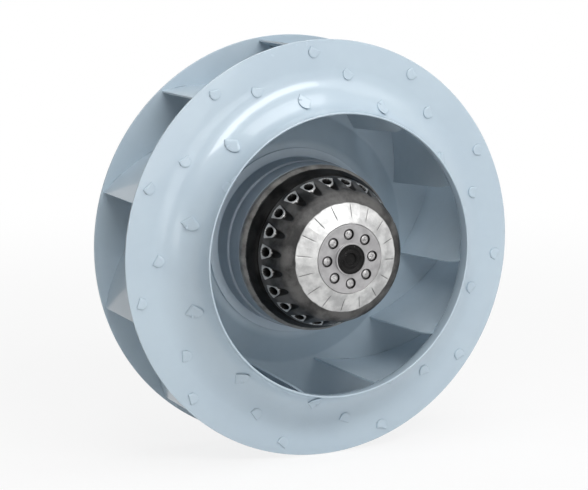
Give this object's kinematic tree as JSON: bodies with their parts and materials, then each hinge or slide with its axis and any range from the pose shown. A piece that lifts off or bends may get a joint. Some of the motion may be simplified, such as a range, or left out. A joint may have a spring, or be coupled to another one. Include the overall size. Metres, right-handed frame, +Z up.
{
  "type": "plug fan",
  "caption": "Backward curved plug fan: a sheet steel wheel with a flared inlet ring, carried by an external rotor motor with a flange at the rear.",
  "frame": {"origin": "centre of the motor's rear mounting face, on the fan axis", "axes": "+Y along the fan axis out of the mounting face, -Y towards the air inlet, +Z up"},
  "size_m": [0.452, 0.2095, 0.452],
  "materials": {
    "impeller_paint": "semi-gloss blue-grey powder coat on steel sheet",
    "rotor_casting": "die casting, dark painted, nose and boss faces bare",
    "hub_steel": "machined, bare",
    "rivet_metal": "swaged, bare",
    "shaft_steel": "ground",
    "black_plastic": "matt black",
    "lamination_steel": "stamped, varnished",
    "cage_aluminium": "cast",
    "copper": "varnished copper wire",
    "insulation": "matt",
    "flange_aluminium": "die casting, bare",
    "cap_steel": "zinc plated",
    "bearing_steel": "polished",
    "cage_plastic": "matt",
    "seal_rubber": "matt"
  },
  "bodies": {
    "stator": {"bearing_circlip": "bearing_steel", "front_bearing_outer_ring": "bearing_steel", "front_bearing_shields": "bearing_steel", "gland_body": "black_plastic", "gland_nut": "black_plastic", "gland_seal": "seal_rubber", "insulator_front": "insulation", "insulator_rear": "insulation", "preload_spring": "bearing_steel", "rear_bearing_outer_ring": "bearing_steel", "rear_bearing_shields": "bearing_steel", "rear_cap": "cap_steel", "stator_core": "lamination_steel", "stator_flange": "flange_aluminium", "stator_winding": "copper"},
    "rotor": {"rotor_shell": "rotor_casting", "hub_disc": "hub_steel", "hub_rivets": "rivet_metal", "shaft": "shaft_steel", "shaft_plug": "black_plastic", "shaft_circlip": "bearing_steel", "rotor_laminations": "lamination_steel", "squirrel_cage": "cage_aluminium", "rear_bearing_inner_ring": "bearing_steel", "front_bearing_inner_ring": "bearing_steel", "hub_sleeve": "impeller_paint", "back_plate": "impeller_paint", "shroud": "impeller_paint", "blade_01": "impeller_paint", "blade_02": "impeller_paint", "blade_03": "impeller_paint", "blade_04": "impeller_paint", "blade_05": "impeller_paint", "blade_06": "impeller_paint", "blade_07": "impeller_paint", "blade_08": "impeller_paint", "blade_09": "impeller_paint", "blade_10": "impeller_paint", "blade_11": "impeller_paint"},
    "rear_cage": {"rear_bearing_cage": "cage_plastic", "rear_bearing_balls": "bearing_steel"},
    "front_cage": {"front_bearing_cage": "cage_plastic", "front_bearing_balls": "bearing_steel"}
  },
  "joints": [
    {"name": "fan_spin", "type": "hinge", "parent": "stator", "child": "rotor", "pos_m": [0, -0.085, 0], "axis": [0, 1, 0], "continuous": true},
    {"name": "rear_cage_spin", "type": "hinge", "parent": "stator", "child": "rear_cage", "pos_m": [0, -0.029, 0], "axis": [0, 1, 0], "continuous": true},
    {"name": "front_cage_spin", "type": "hinge", "parent": "stator", "child": "front_cage", "pos_m": [0, -0.141, 0], "axis": [0, 1, 0], "continuous": true}
  ],
  "couplings": [
    {"joint": "rear_cage_spin", "follows": "fan_spin", "ratio": 0.38149},
    {"joint": "front_cage_spin", "follows": "fan_spin", "ratio": 0.38149}
  ]
}
